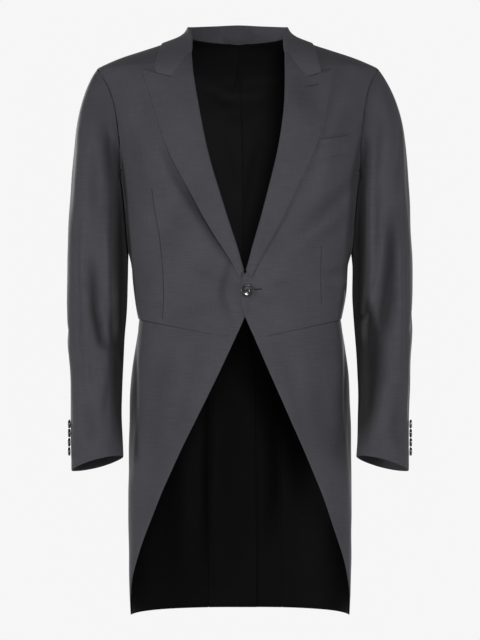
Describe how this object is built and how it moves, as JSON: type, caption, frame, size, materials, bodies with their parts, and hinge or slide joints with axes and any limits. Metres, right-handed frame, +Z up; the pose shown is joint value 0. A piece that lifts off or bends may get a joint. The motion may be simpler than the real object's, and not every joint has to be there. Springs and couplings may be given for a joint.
{
  "type": "morning coat, a single-breasted cutaway jacket in its worn form",
  "caption": "Hollow worn morning coat with peak lapels, a buttoned waist, cutaway fronts falling into lined tails, and long sleeves with buttoned cuffs.",
  "frame": {"origin": "on the plane midway between the sleeves, at the height where the shoulder seams meet the neck, where the wearer's shoulders carry the coat", "axes": "+Z up, +X to the wearer's left, -Y out of the chest"},
  "size_m": [0.5707, 0.2528, 0.9857],
  "materials": {
    "suiting": "charcoal worsted wool, fine sharkskin weave",
    "lining": "black satin-faced viscose lining",
    "buttons": "polished black"
  },
  "bodies": {
    "root": {"back_left": "suiting", "back_lining_left": "lining", "back_lining_right": "lining", "back_right": "suiting", "breast_welt": "suiting", "collar": "suiting", "cuff_button_left_1": "buttons", "cuff_button_left_2": "buttons", "cuff_button_left_3": "buttons", "cuff_button_left_4": "buttons", "cuff_button_right_1": "buttons", "cuff_button_right_2": "buttons", "cuff_button_right_3": "buttons", "cuff_button_right_4": "buttons", "forepart_left": "suiting", "forepart_right": "suiting", "front_button": "buttons", "hanger_loop": "suiting", "lapel_left": "suiting", "lapel_right": "suiting", "side_body_left": "suiting", "side_body_right": "suiting", "skirt_left": "suiting", "skirt_lining_left": "lining", "skirt_lining_right": "lining", "skirt_right": "suiting", "top_sleeve_left": "suiting", "top_sleeve_right": "suiting", "under_sleeve_left": "suiting", "under_sleeve_right": "suiting", "waist_button_left": "buttons", "waist_button_right": "buttons"}
  },
  "joints": []
}
